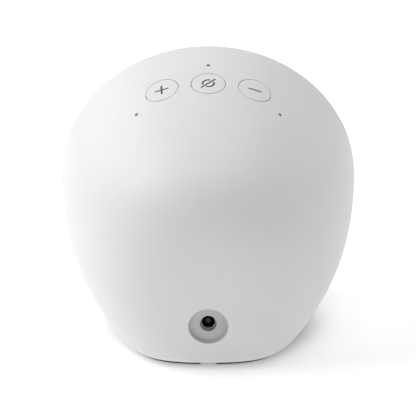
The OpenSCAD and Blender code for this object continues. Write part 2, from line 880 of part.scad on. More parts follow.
module mic_boards() {
  color("DarkGreen") for (p = mic_spots) on_skin(p[0], p[1]) difference() {
    block(4.6, 4, -3.9, -3.32);
    rod(0.4, -5, 0);
  }
}

module microphones() {
  color("Gold") for (p = mic_spots) on_skin(p[0], p[1]) block(3, 2.4, -4.9, -3.92);
}

// One node to draw, or all of them

rear_shell();
base_plate();
rubber_foot();
base_screws();
grille_fabric();
grille_frame();
front_baffle();
case_screws();
small_screws();
light_bar_lens();
light_bar_board();
light_bar_leds();
speaker_enclosure();
enclosure_seal();
enclosure_cover();
driver_gasket();
driver_basket();
driver_screws();
driver_surround();
driver_cone();
driver_dust_cap();
driver_voice_coil();
driver_spider();
driver_top_plate();
driver_magnet();
driver_yoke();
speaker_terminal();
main_board();
shield_can();
processor_chip();
thermal_pad();
memory_chips();
heat_sink();
wireless_module();
capacitors();
board_connectors();
antennas();
antenna_cables();
hook_up_wires();
power_board();
dc_jack_body();
dc_jack_pin();
inlet_bezel();
power_inductor();
button_flex();
switch_bodies();
button_bracket();
volume_up_cap();
volume_up_sign();
mute_cap();
mute_sign_inlay();
volume_down_cap();
volume_down_sign();
mic_seals();
mic_boards();
microphones();
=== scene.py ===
"""Looks of a compact smart speaker with a tilted fabric face and a smooth white back shell.

Geometry is worked out in millimetres in the CAD's frame and turned into metres when a mesh is made.
"""
import json
import math

import bmesh
import bpy
import numpy as np
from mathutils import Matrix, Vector


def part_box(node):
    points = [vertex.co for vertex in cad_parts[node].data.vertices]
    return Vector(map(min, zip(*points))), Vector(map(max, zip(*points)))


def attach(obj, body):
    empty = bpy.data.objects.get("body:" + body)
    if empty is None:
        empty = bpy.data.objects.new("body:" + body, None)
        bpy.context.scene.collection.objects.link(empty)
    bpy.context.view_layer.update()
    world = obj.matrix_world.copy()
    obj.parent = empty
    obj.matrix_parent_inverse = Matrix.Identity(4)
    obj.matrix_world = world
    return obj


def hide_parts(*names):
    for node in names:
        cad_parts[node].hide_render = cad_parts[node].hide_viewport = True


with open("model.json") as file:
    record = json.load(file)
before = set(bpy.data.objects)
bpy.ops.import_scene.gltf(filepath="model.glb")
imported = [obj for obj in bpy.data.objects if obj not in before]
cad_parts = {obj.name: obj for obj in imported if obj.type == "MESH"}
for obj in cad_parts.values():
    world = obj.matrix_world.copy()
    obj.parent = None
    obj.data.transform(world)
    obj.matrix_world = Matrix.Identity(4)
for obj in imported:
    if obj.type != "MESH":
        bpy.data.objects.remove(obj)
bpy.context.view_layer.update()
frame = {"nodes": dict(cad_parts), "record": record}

MM = 0.001

# ---- driving sizes, in millimetres, as in the CAD ----
FACE_R = 49.5
FACE_Y = -30.8
FACE_Z = 42.7
TILT = math.radians(12.5)
TAIL_TILT = math.radians(9.4)
BACK_L = 71.2
SIDE_DRAW, TOP_DRAW, UNDER_DRAW = 4.5, 7.0, 12.7
SIDE_FULLNESS, TOP_FULLNESS, UNDER_FULLNESS = 19.0, 32.0, 51.0
WALL = 2.0
FOOT_H = 0.8
FOOT_FRONT = 0.97
FLOOR_Z = 3.2
TAB_HALF_W = 2.15
TAB_FRONT, TAB_REAR = FACE_Y + 55.2, FACE_Y + 59.2
TAB_LOW, TAB_HIGH = 0.1, FOOT_H + 0.5
NOTCH_HALF_W = 2.5
NOTCH_FRONT = FACE_Y + 54.8
EDGE_R = 3.5
BASE_HALF_W = 27.0
SIDE_TUCK = 0.5
REAR_TUCK = 0.86
BASE_Y = FACE_Y + 27.5
OPENING_Y = FACE_Y + 21
# Half width and half length of the oval opening in the base, outside its step and inside it
OPENING, OPENING_STEP = (18.3, 20.3), (15, 17)
STEP_Z = 2.0
BUTTON_R = 5.325
BUTTON_GAP = 0.2
BUTTON_S = 22.6
BUTTON_A = 18.4
MIC_R = 0.6
MIC_SPOTS = ((0.0, 12.2), (29.7, 30.2), (-29.7, 30.2))
SIGN_W = 0.6
FABRIC_R = 47.2
DOME_H = 4.0
LENS_HALF_ANGLE = math.radians(22.5)
LENS_MOUTH_R = 48.5

recess = next(m for m in frame["record"]["mounts"] if m["name"] == "power_recess")
RECESS_R = recess["dims"]["r_mm"]
INLET_Z = recess["pos_m"][2] / MM
BEZEL_R = (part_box("inlet_bezel")[1].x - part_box("inlet_bezel")[0].x) / 2 / MM
RECESS_FLOOR_Y = FACE_Y + 65.1
RECESS_WALL = 1.5

# ---- sizes of the looks alone ----
# The foot's edge lies this far inside the flat underside. Just outside it, the foot shows as a dark line.
FOOT_INSET = -0.25
# Each hole's softened edge, and the plain ring round that before the grid begins
BUTTON_EDGE, BUTTON_MARGIN = 0.16, 0.25
MIC_EDGE, MIC_MARGIN = 0.12, 0.3
RECESS_EDGE, RECESS_MARGIN = 0.35, 0.5
# A point inside the shell, which tells outwards from inwards
INSIDE = np.array([0, FACE_Y + 30, FACE_Z - 6])
# Points further than this below a spot are on the body's other side
OTHER_SIDE = -12


# ---- the shell's outer surface ----

def closing(s):
    """The surface's own coordinate w, 1 at the rim and 0 at the back, at a distance s behind the rim."""
    return (1 - s / BACK_L) ** (1 / 3)


def round_mix(a, side, top, under):
    """A value that turns smoothly from the side's to the top's or the underside's."""
    t = np.clip(0.5 + 1.4 * np.cos(a), 0, 1)
    share = t * t * (3 - 2 * t)
    return side * np.sin(a) ** 2 + (under + (top - under) * share) * np.cos(a) ** 2


def bare_skin(a, w):
    """Points of the outer surface before its base is rounded. a is the angle from the top, in radians."""
    v = 1 - w
    draw = round_mix(a, SIDE_DRAW, TOP_DRAW, UNDER_DRAW)
    full = round_mix(a, SIDE_FULLNESS, TOP_FULLNESS, UNDER_FULLNESS)
    r = w**3 * FACE_R + 3 * w * w * v * (FACE_R - draw) + 3 * w * v * v * full
    s = BACK_L * (1 - w**3)
    lean = TAIL_TILT + (TILT - TAIL_TILT) * w**3
    up = r * np.cos(a)
    return np.stack([
        r * np.sin(a),
        FACE_Y + s * math.cos(TILT) + up * np.sin(lean),
        FACE_Z - s * math.sin(TILT) + up * np.cos(lean),
    ], -1)


def tucked(inset):
    """The scale that draws the base's outline in by an inset."""
    return 1 - inset / BASE_HALF_W


def tuck(p):
    """Rounds points near the floor inwards, into the base, less at the sides than at the back."""
    drop = np.clip(FOOT_H + EDGE_R - p[..., 2], 0, EDGE_R)
    inset = EDGE_R - np.sqrt(EDGE_R**2 - drop**2)
    back = BASE_Y + (p[..., 1] - BASE_Y) * tucked(REAR_TUCK * inset)
    y = np.where(p[..., 1] > BASE_Y, back, p[..., 1])
    return np.stack([p[..., 0] * tucked(SIDE_TUCK * inset), y, p[..., 2]], -1)


def skin(a, w):
    return tuck(bare_skin(a, w))


def skin_normal(a, w):
    da, dw = 0.003, 0.002
    around = skin(a + da, w) - skin(a - da, w)
    along = skin(a, w + dw) - skin(a, w - dw)
    n = np.cross(around, along)
    n /= np.linalg.norm(n, axis=-1, keepdims=True)
    inwards = np.sum(n * (skin(a, w) - INSIDE), -1, keepdims=True) < 0
    return np.where(inwards, -n, n)


def face_point(x, up, s):
    """A point of the leaning face's own frame: across, up the face and back from its plane."""
    return np.stack([
        x,
        FACE_Y + s * math.cos(TILT) + up * math.sin(TILT),
        FACE_Z - s * math.sin(TILT) + up * math.cos(TILT),
    ], -1)


class Spot:
    """A place on the surface with its own axes: z out of the wall, y towards the rim."""

    def __init__(self, a, s):
        self.a, self.w = math.radians(a), closing(s)
        self.origin = skin(self.a, self.w)
        self.z = skin_normal(self.a, self.w)
        across = skin(self.a - 0.005, self.w) - skin(self.a + 0.005, self.w)
        self.x = across / np.linalg.norm(across)
        self.y = np.cross(self.z, self.x)

    def params(self, u, v):
        """The surface's a and w at local points u, v, by Newton's method from a coarse table's points."""
        reach, count = 0.9, 90
        rough_a, rough_w = np.meshgrid(
            self.a + np.linspace(-reach, reach, count), np.linspace(0.01, 0.995, count))
        rough = skin(rough_a, rough_w) - self.origin
        ru, rv = rough @ self.x, rough @ self.y
        far = np.where(rough @ self.z > OTHER_SIDE, 0, 1e3)
        nearest = [np.argmin(np.hypot(ru - uu, rv - vv) + far) for uu, vv in zip(u, v)]
        a, w = rough_a.ravel()[nearest], rough_w.ravel()[nearest]
        step = 1e-4
        for _ in range(7):
            p = skin(a, w) - self.origin
            pa = (skin(a + step, w) - self.origin - p) / step
            pw = (skin(a, w + step) - self.origin - p) / step
            ru, rv = u - p @ self.x, v - p @ self.y
            m00, m01, m10, m11 = pa @ self.x, pw @ self.x, pa @ self.y, pw @ self.y
            det = m00 * m11 - m01 * m10
            a = a + (ru * m11 - rv * m01) / det
            w = w + (rv * m00 - ru * m10) / det
        return a, w

    def ring(self, r, depth=0.0, n=96):
        """Points at radius r, at a depth below the surface there, and the surface's normals."""
        t = 2 * math.pi * np.arange(n) / n
        return self.on(r * np.cos(t), r * np.sin(t), depth)

    def on(self, u, v, depth=0.0):
        a, w = self.params(u, v)
        return skin(a, w) - depth * self.z, skin_normal(a, w)

    def flat_ring(self, r, z, n=96):
        """A plain circle of radius r at height z along the spot's axis."""
        t = 2 * math.pi * np.arange(n)[:, None] / n
        return self.origin + z * self.z + r * (np.cos(t) * self.x + np.sin(t) * self.y)

    def distance(self, p):
        """Distance of points from the spot's axis, far away for points on the body's other side."""
        q = p - self.origin
        near = q @ self.z > OTHER_SIDE
        return np.where(near, np.hypot(q @ self.x, q @ self.y), 1e3)


class InletSpot(Spot):
    """The power inlet, whose axis runs straight back."""

    def __init__(self):
        self.a = math.pi
        self.x, self.y, self.z = (np.array(v, float) for v in ((-1, 0, 0), (0, 0, 1), (0, 1, 0)))
        self.origin = np.array([0, RECESS_FLOOR_Y, INLET_Z])


# ---- meshes, gathered ring by ring ----

class Sheet:
    def __init__(self):
        self.points, self.faces, self.normals = [], [], {}

    def add(self, points, normals=None):
        """Adds points, with the true normals of their surface if those are given, and returns their numbers."""
        ids = np.arange(len(self.points), len(self.points) + len(points))
        self.points.extend(points)
        if normals is not None:
            self.normals.update(zip(ids.tolist(), normals))
        return ids

    def join(self, a, b, closed=True):
        """Quads between two rings of equal length."""
        n = len(a)
        for i in range(n if closed else n - 1):
            j = (i + 1) % n
            self.faces.append((a[i], a[j], b[j], b[i]))

    def lace(self, a, b, closed=True):
        """Triangles between two rings, or two open chains, whose lengths differ."""
        p = np.array(self.points)
        a, b = list(a), list(b)
        if closed:
            b = self.matched(p, a, b)
            a, b = a + a[:1], b + b[:1]
        i = j = 0
        while i < len(a) - 1 or j < len(b) - 1:
            if j == len(b) - 1:
                go_a = True
            elif i == len(a) - 1:
                go_a = False
            else:
                go_a = np.linalg.norm(p[a[i + 1]] - p[b[j]]) < np.linalg.norm(p[a[i]] - p[b[j + 1]])
            if go_a:
                self.faces.append((a[i], a[i + 1], b[j]))
                i += 1
            else:
                self.faces.append((a[i], b[j + 1], b[j]))
                j += 1

    def lace_about(self, spot, a, b):
        """Triangles between two rings round a spot, taken in order of their angle about its axis."""
        p = np.array(self.points)
        (a, turn_a), (b, turn_b) = self.in_turn(p, a, spot), self.in_turn(p, b, spot)
        i = j = 0
        while i < len(a) - 1 or j < len(b) - 1:
            if j == len(b) - 1 or (i < len(a) - 1 and turn_a[i + 1] < turn_b[j + 1]):
                self.faces.append((a[i], a[i + 1], b[j]))
                i += 1
            else:
                self.faces.append((a[i], b[j + 1], b[j]))
                j += 1

    @staticmethod
    def in_turn(p, ring, spot):
        """A ring's points by their angle about a spot, with the first again at the end, and the angles."""
        ring = np.array(ring)
        q = p[ring] - spot.origin
        angle = np.arctan2(q @ spot.y, q @ spot.x)
        unrolled = np.unwrap(angle)
        if unrolled[-1] < unrolled[0]:
            ring, angle = ring[::-1], angle[::-1]
        start = int(np.argmin(angle))
        ring, angle = np.roll(ring, -start), np.unwrap(np.roll(angle, -start))
        return ring.tolist() + [int(ring[0])], np.append(angle, angle[0] + 2 * math.pi)

    @staticmethod
    def matched(p, a, b):
        """Ring b turned and, if need be, reversed, so that it starts beside ring a's start and runs with it."""
        b = np.array(b)
        start = int(np.argmin(np.linalg.norm(p[b] - p[a[0]], axis=1)))
        marks = np.arange(8) / 8
        along_a = p[np.array(a)[(marks * len(a)).astype(int)]]
        choices = [np.roll(b, -start), np.roll(b[::-1], start + 1 - len(b))]
        apart = [np.linalg.norm(p[c[(marks * len(c)).astype(int)]] - along_a) for c in choices]
        return choices[int(np.argmin(apart))].tolist()

    def cap(self, ring, centre):
        """A fan from a ring to one point."""
        tip = self.add([centre])[0]
        n = len(ring)
        self.faces.extend((ring[i], ring[(i + 1) % n], tip) for i in range(n))

    def chain(self, rings, first):
        """Joins ring after ring of points, starting from one that is there, and returns the last."""
        for points in rings:
            ids = self.add(points)
            self.join(first, ids)
            first = ids
        return first

    def build(self, name, sharp=32):
        """A Blender object in metres, smooth but for edges over the sharp angle, with any true normals set."""
        mesh = bpy.data.meshes.new(name)
        mesh.from_pydata((np.array(self.points) * MM).tolist(), [], [tuple(map(int, f)) for f in self.faces])
        bm = bmesh.new()
        bm.from_mesh(mesh)
        bmesh.ops.recalc_face_normals(bm, faces=bm.faces)
        if bm.calc_volume(signed=True) < 0:
            bmesh.ops.reverse_faces(bm, faces=bm.faces)
        bm.to_mesh(mesh)
        bm.free()
        finish_mesh(mesh, sharp)
        if self.normals:
            wanted = np.zeros((len(mesh.loops), 3), np.float32)
            for loop in mesh.loops:
                if loop.vertex_index in self.normals:
                    wanted[loop.index] = self.normals[loop.vertex_index]
            mesh.normals_split_custom_set(wanted.tolist())
        return bpy.data.objects.new(name, mesh)


def finish_mesh(mesh, sharp):
    mesh.polygons.foreach_set("use_smooth", [True] * len(mesh.polygons))
    mesh.set_sharp_from_angle(angle=math.radians(sharp))
    mesh.validate()
    mesh.update()


def boundary_loops(faces):
    """The open edges of a set of faces, as closed loops of point numbers."""
    edges = {(f[i], f[(i + 1) % len(f)]) for f in faces for i in range(len(f))}
    follow = {u: v for u, v in edges if (v, u) not in edges}
    loops = []
    while follow:
        start, here = next(iter(follow.items()))
        loop = [start]
        del follow[start]
        while here != start:
            loop.append(here)
            here = follow.pop(here)
        loops.append(loop)
    return loops


def place(obj, body, slot, material, *nodes):
    """Links a finished piece, rides it on its body and hides the CAD nodes that it stands for."""
    bpy.context.scene.collection.objects.link(obj)
    obj.data.materials.clear()
    obj.data.materials.append(material)
    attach(obj, body)
    if nodes:
        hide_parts(*nodes)
    return obj


# ---- rear shell ----

COLUMNS = 304
ROWS = 112
RIM_S = 0.5
CUT_Z = 5.2


def even_rows(first, last, count):
    """Values of w that lie evenly along the surface from the rim's side to the back."""
    samples = 800
    w = np.linspace(first, last, samples)
    lines = [bare_skin(np.full(samples, a), w) for a in (0, math.pi / 2, math.pi)]
    steps = sum(np.linalg.norm(np.diff(line_points, axis=0), axis=1) for line_points in lines)
    length = np.concatenate([[0], np.cumsum(steps)])
    return np.interp(np.linspace(0, length[-1], count), length, w)


def grid(rows, point, normal, dropped):
    """Rings of points from rim to back and the quads between them that are not dropped."""
    a = 2 * math.pi * (np.arange(COLUMNS) + 0.5) / COLUMNS
    points = np.stack([point(a, np.full(COLUMNS, w)) for w in rows])
    normals = np.stack([normal(a, np.full(COLUMNS, w)) for w in rows])
    gone = dropped(points)
    i, k = np.meshgrid(np.arange(len(rows) - 1), np.arange(COLUMNS), indexing="ij")
    j = (k + 1) % COLUMNS
    lost = gone[i, k] | gone[i + 1, k] | gone[i + 1, j] | gone[i, j]
    ids = np.arange(len(rows) * COLUMNS).reshape(len(rows), COLUMNS)
    quads = np.stack([ids[i, k], ids[i + 1, k], ids[i + 1, j], ids[i, j]], -1)[~lost]
    return points.reshape(-1, 3), normals.reshape(-1, 3), quads, ids


def add_grid(sheet, rows, point, normal, dropped, back):
    """Adds a grid, its closing fan at the back, and returns its first ring and its other open loops."""
    points, normals, quads, ids = grid(rows, point, normal, dropped)
    used = np.unique(quads)
    fresh = np.full(len(points), -1)
    fresh[used] = sheet.add(points[used], normals[used])
    quads = fresh[quads]
    sheet.faces.extend(map(tuple, quads.tolist()))
    last = fresh[ids[-1]]
    sheet.cap(last.tolist(), back)
    loops = [loop for loop in boundary_loops(quads.tolist()) if last[0] not in loop]
    return fresh[ids[0]], loops


def nearest_loop(sheet, loops, spot):
    """Takes from the list the open loop that runs round a spot."""
    p = np.array(sheet.points)
    best = min(loops, key=lambda loop: spot.distance(p[loop]).max())
    loops.remove(best)
    return best


def level_chain(z):
    """The surface's outline at height z: an open chain from one end of the rim round the back to the other."""
    steps = 56
    low, high = 0.02, 0.6
    for _ in range(40):
        mid = (low + high) / 2
        low, high = (mid, high) if bare_skin(math.pi, mid)[2] > z else (low, mid)
    w = low + (closing(RIM_S) - low) * (1 - np.arange(steps + 1) / steps) ** 2
    a0, a1 = np.full(steps + 1, math.pi / 2), np.full(steps + 1, math.pi)
    for _ in range(40):
        mid = (a0 + a1) / 2
        above = bare_skin(mid, w)[:, 2] > z
        a0, a1 = np.where(above, mid, a0), np.where(above, a1, mid)
    half = tuck(bare_skin(a0, w))
    half[-1, 0] = 0
    return np.concatenate([half, half[-2::-1] * [-1, 1, 1]])


def rim_radius(a, r, drop):
    """Radius of a face outline at angle a: a circle cut by a level line at a drop below its centre."""
    down = np.maximum(-np.cos(a), 1e-6)
    return np.minimum(r, drop / down)


def soft_rim_radius(a, r, drop):
    """The same with its two corners eased."""
    down = np.maximum(-np.cos(a), 1e-6)
    power = 40.0
    return (np.broadcast_to(r, a.shape) ** -power + (drop / down) ** -power) ** (-1 / power)


def oval(halves, z, n=160):
    t = 2 * math.pi * np.arange(n) / n
    return np.stack([halves[0] * np.cos(t), OPENING_Y + halves[1] * np.sin(t), np.full(n, z)], -1)


def inner_point(a, w):
    """The cavity's wall, flattened onto the shell's floor."""
    p = bare_skin(a, w) - WALL * skin_normal(a, w)
    q = p - [0, FACE_Y, FACE_Z]
    up = q[..., 1] * math.sin(TILT) + q[..., 2] * math.cos(TILT)
    s = q[..., 1] * math.cos(TILT) - q[..., 2] * math.sin(TILT)
    floor_up = (FLOOR_Z - FACE_Z + s * math.sin(TILT)) / math.cos(TILT)
    k = np.where(p[..., 2] < FLOOR_Z, floor_up / np.where(np.abs(up) < 1, 1, up), 1.0)
    return face_point(q[..., 0] * k, up * k, s)


def hole_rings(spot, r, edge, margin, n=96):
    """Rings on the surface round a hole, then round its softened edge and down to the wall's inner side."""
    steps = np.linspace(0, math.pi / 2, 6)
    apron = [spot.ring(r + edge + d, 0, n) for d in (margin, margin / 2)]
    rounded = [spot.ring(r + edge * (1 - math.sin(t)), edge * (1 - math.cos(t)), n) for t in steps]
    return apron + rounded[:1], [points for points, _ in rounded[1:]]


def start_hole(sheet, loops, spot, r, edge, margin, n):
    """Ties a hole's rings on the surface into the grid. Returns the innermost, and the rounded ones to come."""
    on_skin, rounded = hole_rings(spot, r, edge, margin, n)
    ids = sheet.add(*on_skin[0])
    sheet.lace_about(spot, nearest_loop(sheet, loops, spot), ids)
    for points, normals in on_skin[1:]:
        more = sheet.add(points, normals)
        sheet.join(ids, more)
        ids = more
    return ids, rounded


def add_hole(sheet, loops, inner_loops, spot, r, edge, margin, n=96):
    """A round hole through the wall, tied into the outer and the inner grid."""
    ids, rounded = start_hole(sheet, loops, spot, r, edge, margin, n)
    ids = sheet.chain(rounded + [spot.ring(r, WALL, n)[0]], ids)
    sheet.lace_about(spot, nearest_loop(sheet, inner_loops, spot), ids)


def add_recess(sheet, loops, inner_loops, spot):
    """The power recess: a round well with a flat floor and a bored centre, in a cup of its own."""
    root, n = 0.9, 128
    ids, rounded = start_hole(sheet, loops, spot, RECESS_R, RECESS_EDGE, RECESS_MARGIN, n)
    turn = np.linspace(0, math.pi / 2, 7)
    bore = BEZEL_R + 0.13
    well = [spot.flat_ring(RECESS_R - root * (1 - math.cos(t)), root * (1 - math.sin(t)), n) for t in turn]
    chamfer = 0.12
    well += [spot.flat_ring(bore + chamfer, 0, n), spot.flat_ring(bore, -chamfer, n)]
    first_face = len(sheet.faces)
    cup = [spot.flat_ring(bore, -RECESS_WALL, n), spot.flat_ring(RECESS_R + RECESS_WALL, -RECESS_WALL, n)]
    ids = sheet.chain(rounded + well + cup, ids)
    # The recess's inside faces, kept here, later get a darker material as painted shade.
    sheet.inside = range(first_face + n, len(sheet.faces))
    outside = spot.ring(RECESS_R + RECESS_WALL, WALL, n)[0]
    ids = sheet.chain([outside], ids)
    sheet.lace_about(spot, nearest_loop(sheet, inner_loops, spot), ids)


def rear_shell(buttons, mics, inlet):
    sheet = Sheet()
    first_w = closing(RIM_S)
    rows = even_rows(first_w, 0.012, ROWS)
    edges = [(s, BUTTON_R + BUTTON_GAP + BUTTON_EDGE + BUTTON_MARGIN) for s in buttons]
    edges += [(s, MIC_R + MIC_EDGE + MIC_MARGIN) for s in mics]
    edges += [(inlet, RECESS_R + RECESS_EDGE + RECESS_MARGIN)]

    def outside_dropped(p):
        gone = p[..., 2] < CUT_Z
        for spot, r in edges:
            gone |= spot.distance(p) < r + 0.1
        return gone

    def inside_dropped(p):
        half_w, half_l = (half + 0.6 for half in OPENING_STEP)
        on_floor = p[..., 2] < FLOOR_Z + 0.01
        gone = (np.hypot(p[..., 0] / half_w, (p[..., 1] - OPENING_Y) / half_l) < 1) & on_floor
        for spot, r in edges:
            wide = RECESS_R + RECESS_WALL if spot is inlet else r - BUTTON_MARGIN
            gone |= spot.distance(p) < max(wide + 0.3, 1.4)
        return gone

    _, loops = add_grid(sheet, rows, bare_skin, skin_normal, outside_dropped, skin(0.0, 0.0))
    inner_rows = even_rows(closing(2.5), 0.008, 84)
    inner_ring, inner_loops = add_grid(
        sheet, inner_rows, inner_point, lambda a, w: -skin_normal(a, w), inside_dropped,
        skin(0.0, 0.0) - WALL * skin_normal(0.0, 0.01))
    sheet.normals = {i: n for i, n in sheet.normals.items() if sheet.points[i][2] > CUT_Z - 1}
    inner_loops = [loop for loop in inner_loops if inner_ring[0] not in loop]

    for spot in buttons:
        add_hole(sheet, loops, inner_loops, spot, BUTTON_R + BUTTON_GAP, BUTTON_EDGE, BUTTON_MARGIN)
    for spot in mics:
        add_hole(sheet, loops, inner_loops, spot, MIC_R, MIC_EDGE, MIC_MARGIN, 32)
    add_recess(sheet, loops, inner_loops, inlet)
    outline = add_base(sheet, loops[0], inner_loops[0])
    add_face_rim(sheet, outline, inner_ring)
    add_tab(sheet)
    return sheet.build("rear_shell_skin"), sheet.inside


def add_base(sheet, loop, opening_loop):
    """The rounded lower edge, the flat underside and its stepped opening. Returns the front outline."""
    p = np.array(sheet.points)
    rim_y = [p[i][1] * math.cos(TILT) - p[i][2] * math.sin(TILT) for i in loop]
    rim_s = FACE_Y * math.cos(TILT) - FACE_Z * math.sin(TILT) + RIM_S
    on_rim = np.array([abs(v - rim_s) < 0.02 for v in rim_y])
    turn = next(i for i in range(len(loop)) if on_rim[i] and not on_rim[i - 1])
    loop, on_rim = loop[turn:] + loop[:turn], np.roll(on_rim, -turn)
    count = int(on_rim.sum())
    top, cut = loop[:count], loop[count - 1:] + loop[:1]
    if p[cut[0]][0] < 0:
        cut = cut[::-1]
    if p[top[0]][0] > 0:
        top = top[::-1]

    steps = np.linspace(0, math.pi / 2, 13)
    heights = [FOOT_H + EDGE_R + 0.45] + [FOOT_H + EDGE_R * (1 - math.sin(t)) for t in steps]
    levels = [sheet.add(level_chain(z)) for z in heights]
    sheet.lace(cut, levels[0], closed=False)
    for upper, lower in zip(levels, levels[1:]):
        sheet.join(upper, lower, closed=False)

    right, left = np.array(sheet.points[levels[-1][0]]), np.array(sheet.points[levels[-1][-1]])
    across = sheet.add([right + (left - right) * t for t in np.linspace(0, 1, 42)[1:-1]])
    base = list(levels[-1]) + list(across[::-1])
    ids = sheet.add(oval(OPENING, FOOT_H))
    sheet.lace(base, ids)
    ids = sheet.chain([oval(OPENING, STEP_Z), oval(OPENING_STEP, STEP_Z), oval(OPENING_STEP, FLOOR_Z)], ids)
    sheet.lace(opening_loop, ids)
    right_side = [ring[0] for ring in levels]
    left_side = [ring[-1] for ring in levels[::-1]]
    return list(top) + right_side + list(across) + left_side


def add_face_rim(sheet, outline, inner_ring):
    """The rounded front edge, the flat ring round the fabric with its slot for the light bar, and the mouth."""
    count = 240
    a = 2 * math.pi * np.arange(count) / count
    slot_ends = [LENS_HALF_ANGLE + d for d in (-0.003, 0.003)]
    a = np.sort(np.concatenate([a, slot_ends, [2 * math.pi - e for e in slot_ends]]))
    from_top = np.minimum(a, 2 * math.pi - a)
    mouth = np.where(from_top < LENS_HALF_ANGLE, LENS_MOUTH_R, FACE_R - WALL)
    outer_drop = (FACE_Z - FOOT_H) / math.cos(TILT)
    inner_drop = (FACE_Z - FLOOR_Z) / math.cos(TILT)

    def at(r, s):
        return tuck(face_point(r * np.sin(a), r * np.cos(a), np.full(len(a), s)))

    first = None
    for t in np.radians([30, 60, 90]):
        inset = RIM_S * (1 - math.cos(t))
        ids = sheet.add(at(rim_radius(a, FACE_R - inset, outer_drop - inset), RIM_S * (1 - math.sin(t))))
        if first is None:
            sheet.lace(outline, ids)
        else:
            sheet.join(first, ids)
        first = ids
    inner = soft_rim_radius(a, mouth, inner_drop)
    lip, depth = 0.2, 1.8
    first = sheet.chain([at(inner + lip, 0.0), at(inner, lip), at(inner, depth)], first)
    sheet.lace(inner_ring.tolist(), first)


def add_tab(sheet):
    """The small locating tab that bridges the gap above the foot at the back."""
    low, high = np.array([-TAB_HALF_W, TAB_FRONT, TAB_LOW]), np.array([TAB_HALF_W, TAB_REAR, TAB_HIGH])
    r, n = 0.3, 5
    middle, half = (low + high) / 2, (high - low) / 2 - r
    t = np.linspace(0, math.pi / 2, n)
    corner = np.stack([np.cos(t), np.sin(t)], -1) * r
    loop = []
    for sx, sy, flip in ((1, 1, 1), (-1, 1, -1), (-1, -1, 1), (1, -1, -1)):
        loop += [[sx * (half[0] + c[0]), sy * (half[1] + c[1])] for c in corner[::flip]]
    loop = np.array(loop)

    def level(z, shrink):
        return np.column_stack([loop * (1 - shrink), np.full(len(loop), z)]) + [middle[0], middle[1], 0]

    ids = sheet.add(level(low[2], 0.1))
    sheet.cap(ids.tolist(), [middle[0], middle[1], low[2]])
    ids = sheet.chain([level(low[2] + 0.12, 0), level(high[2], 0)], ids)
    sheet.cap(ids.tolist(), [middle[0], middle[1], high[2]])


# ---- buttons and their signs ----

def button_cap(name, spot):
    """A cap that is flush with the shell, with a softened edge, a flange under the wall and a stem."""
    sheet = Sheet()
    edge = BUTTON_EDGE
    radii = np.linspace(0.6, BUTTON_R - edge, 10)
    centre = sheet.add([spot.origin], [spot.z])[0]
    ids = sheet.add(*spot.ring(radii[0]))
    sheet.faces.extend((ids[i], ids[(i + 1) % 96], centre) for i in range(96))
    for r in radii[1:]:
        more = sheet.add(*spot.ring(r))
        sheet.join(ids, more)
        ids = more
    steps = np.linspace(0, math.pi / 2, 6)[1:]
    rounded = [spot.ring(BUTTON_R - edge * (1 - math.sin(t)), edge * (1 - math.cos(t)))[0] for t in steps]
    flange_r, stem_r, tip_r = 6.7, 1.8, 1.0
    flange_top, flange_under, shoulder, end = -2.75, -3.5, -4.9, -5.9
    below = [(BUTTON_R, flange_top), (flange_r, flange_top), (flange_r, flange_under), (stem_r, flange_under),
             (stem_r, shoulder), (tip_r, shoulder), (tip_r, end)]
    ids = sheet.chain(rounded + [spot.flat_ring(r, z) for r, z in below], ids)
    sheet.cap(ids.tolist(), spot.origin + end * spot.z)
    return sheet.build(name)


def stroke(sheet, spot, path, width):
    """A closed bar of even width along a path of local points, standing a hair proud of the cap."""
    lift, depth = -0.012, 0.15
    path = np.array(path, float)
    along = np.gradient(path, axis=0)
    along /= np.linalg.norm(along, axis=1, keepdims=True)
    side = np.stack([-along[:, 1], along[:, 0]], -1) * width / 2
    rows = []
    for edge, d in ((side, lift), (-side, lift), (-side, depth), (side, depth)):
        q = path + edge
        points, normals = spot.on(q[:, 0], q[:, 1], d)
        rows.append(sheet.add(points, normals if d < 0 else None))
    for a, b in zip(rows, rows[1:] + rows[:1]):
        sheet.join(a, b, closed=False)
    for end in (0, -1):
        sheet.faces.append(tuple(row[end] for row in rows))


def line(x0, y0, x1, y1, n=12):
    t = np.linspace(0, 1, n)
    return np.stack([x0 + (x1 - x0) * t, y0 + (y1 - y0) * t], -1)


def arc(r, start, end, n=28):
    t = np.radians(np.linspace(start, end, n))
    return np.stack([r * np.cos(t), r * np.sin(t)], -1)


def sign(name, spot, paths):
    sheet = Sheet()
    for path in paths:
        stroke(sheet, spot, path, SIGN_W)
    return sheet.build(name)


def sign_paths():
    """Plus, microphone off and minus, in each cap's own plane."""
    plus_half, ring_r, slash_half, clear, minus_half = 2.25, 1.8, 3.2, 0.45, 2.2
    short = SIGN_W / 2
    plus = [line(-plus_half, 0, plus_half, 0), line(0, short, 0, plus_half), line(0, -plus_half, 0, -short)]
    gap = math.degrees(math.asin((short + clear) / ring_r))
    diagonal = slash_half / math.sqrt(2)
    mute = [arc(ring_r, 45 + gap, 225 - gap), arc(ring_r, 225 + gap, 405 - gap),
            line(-diagonal, -diagonal, diagonal, diagonal)]
    return plus, mute, [line(-minus_half, 0, minus_half, 0)]


def mic_mesh(name, spots):
    """A disc of acoustic mesh a little way down each microphone hole."""
    r, top, under, n = MIC_R - 0.02, -0.4, -0.55, 24
    sheet = Sheet()
    for spot in spots:
        ids = sheet.add(spot.flat_ring(r, top, n))
        sheet.cap(ids.tolist(), spot.origin + top * spot.z)
        ids = sheet.chain([spot.flat_ring(r, under, n)], ids)
        sheet.cap(ids.tolist(), spot.origin + under * spot.z)
    return sheet.build(name)


# ---- face ----

